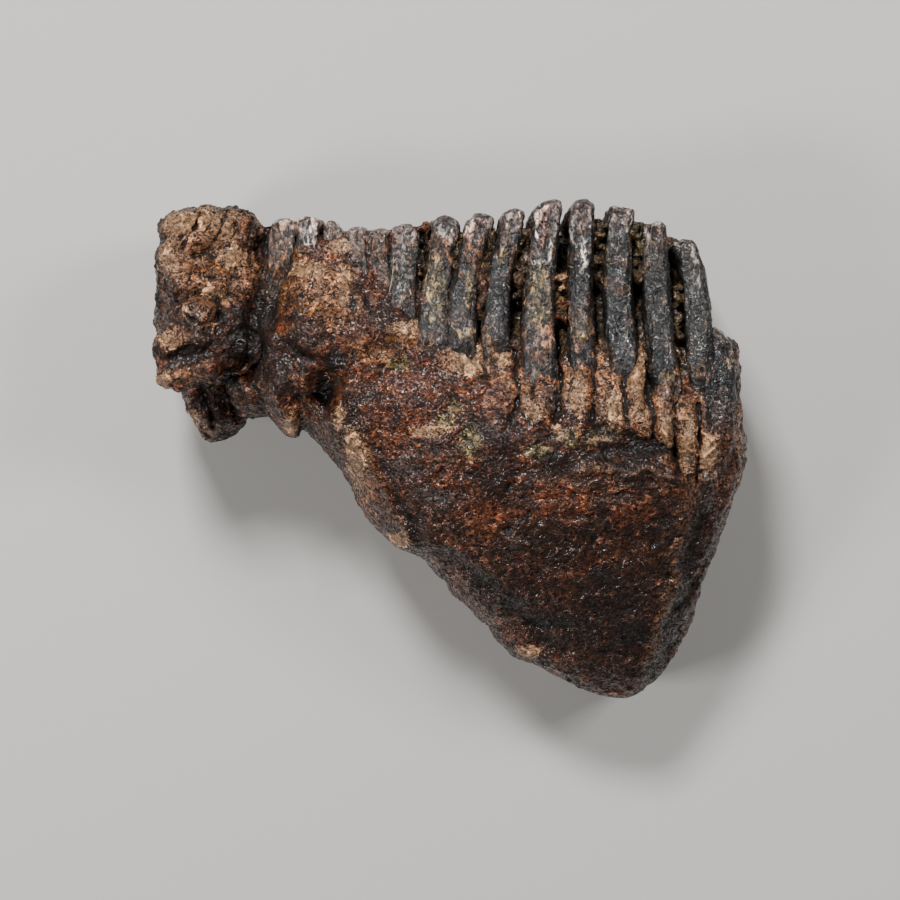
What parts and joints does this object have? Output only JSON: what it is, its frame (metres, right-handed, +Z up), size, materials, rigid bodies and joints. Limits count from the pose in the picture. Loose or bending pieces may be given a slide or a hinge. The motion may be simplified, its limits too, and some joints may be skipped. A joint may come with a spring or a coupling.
{
  "type": "fossil mammoth tooth",
  "caption": "Fossil woolly mammoth molar lying on its side: upright enamel plates along the top, a lumpy rooted front end and a body of dark cement that tapers down.",
  "frame": {"origin": "below the middle of the tooth's box, on the surface that it rests on", "axes": "+X towards the tooth's hind end, +Y towards the chewing edge, +Z up from the resting side"},
  "size_m": [0.1774, 0.1486, 0.0758],
  "materials": {
    "fossil_cement": "satin",
    "fossil_enamel": "gloss"
  },
  "bodies": {
    "root": {"mammoth_tooth": "fossil_cement"}
  },
  "joints": []
}
